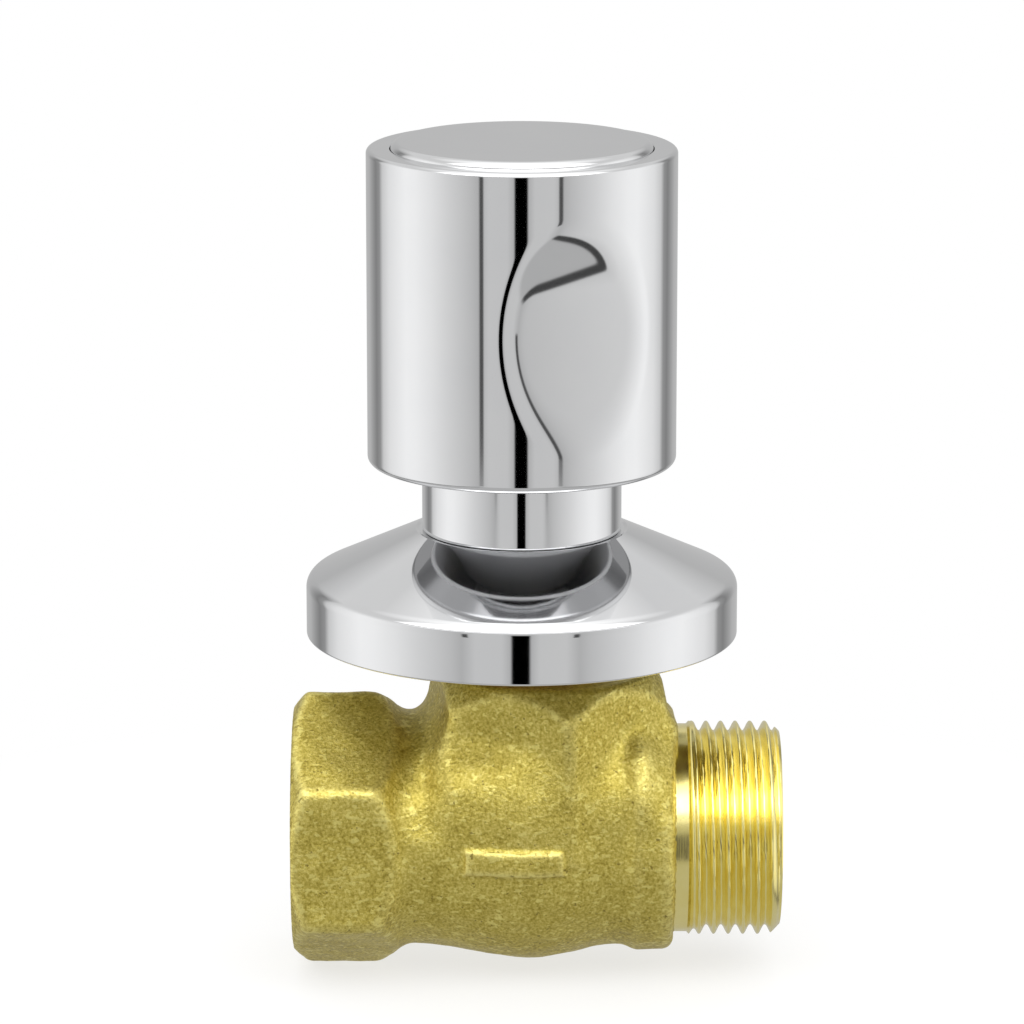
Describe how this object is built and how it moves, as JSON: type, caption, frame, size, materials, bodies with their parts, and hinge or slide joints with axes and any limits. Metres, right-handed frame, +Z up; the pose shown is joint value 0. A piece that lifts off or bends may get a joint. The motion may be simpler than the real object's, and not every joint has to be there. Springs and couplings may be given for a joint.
{
  "type": "concealed stop valve",
  "caption": "Concealed stop valve: cast brass globe body with a hexagon inlet socket, male threaded outlet, rising spindle, chrome wall flange and round knob with thumb scallops.",
  "frame": {"origin": "where the pipe axis crosses the spindle axis, inside the body", "axes": "+X along the pipe to the threaded outlet, +Z up the spindle to the handle, -Y to the side with the small cast pad"},
  "size_m": [0.0601, 0.053, 0.1041],
  "materials": {
    "cast_brass": "rough sand-cast",
    "machined_brass": "machined",
    "chrome_trim": "polished",
    "steel": "plain",
    "rubber": "matte",
    "fibre": "matte",
    "packing": "matte",
    "nylon": "matte"
  },
  "bodies": {
    "valve": {"valve_body": "cast_brass", "bonnet": "machined_brass", "bonnet_gasket": "fibre", "gland_packing": "packing", "gland_follower": "machined_brass", "gland_nut": "machined_brass", "extension_sleeve": "machined_brass", "flange_guide_ring": "nylon", "flange": "chrome_trim", "flange_collar": "chrome_trim"},
    "jumper": {"jumper": "machined_brass", "seat_washer": "rubber", "washer_nut": "machined_brass"},
    "spindle": {"spindle": "machined_brass", "handle": "chrome_trim", "handle_bush": "nylon", "handle_screw": "steel", "screw_washer": "steel", "handle_cap": "chrome_trim", "cap_ring": "rubber"}
  },
  "joints": [
    {"name": "jumper_rise", "type": "slide", "parent": "valve", "child": "jumper", "axis": [0, 0, 1], "range_m": [0, 0.0045]},
    {"name": "spindle_turn", "type": "hinge", "parent": "jumper", "child": "spindle", "pos_m": [0, 0, 0], "axis": [0, 0, 1], "range_deg": [0, 1080]}
  ],
  "couplings": [
    {"joint": "spindle_turn", "follows": "jumper_rise", "rad_per_m": 4188.8}
  ]
}
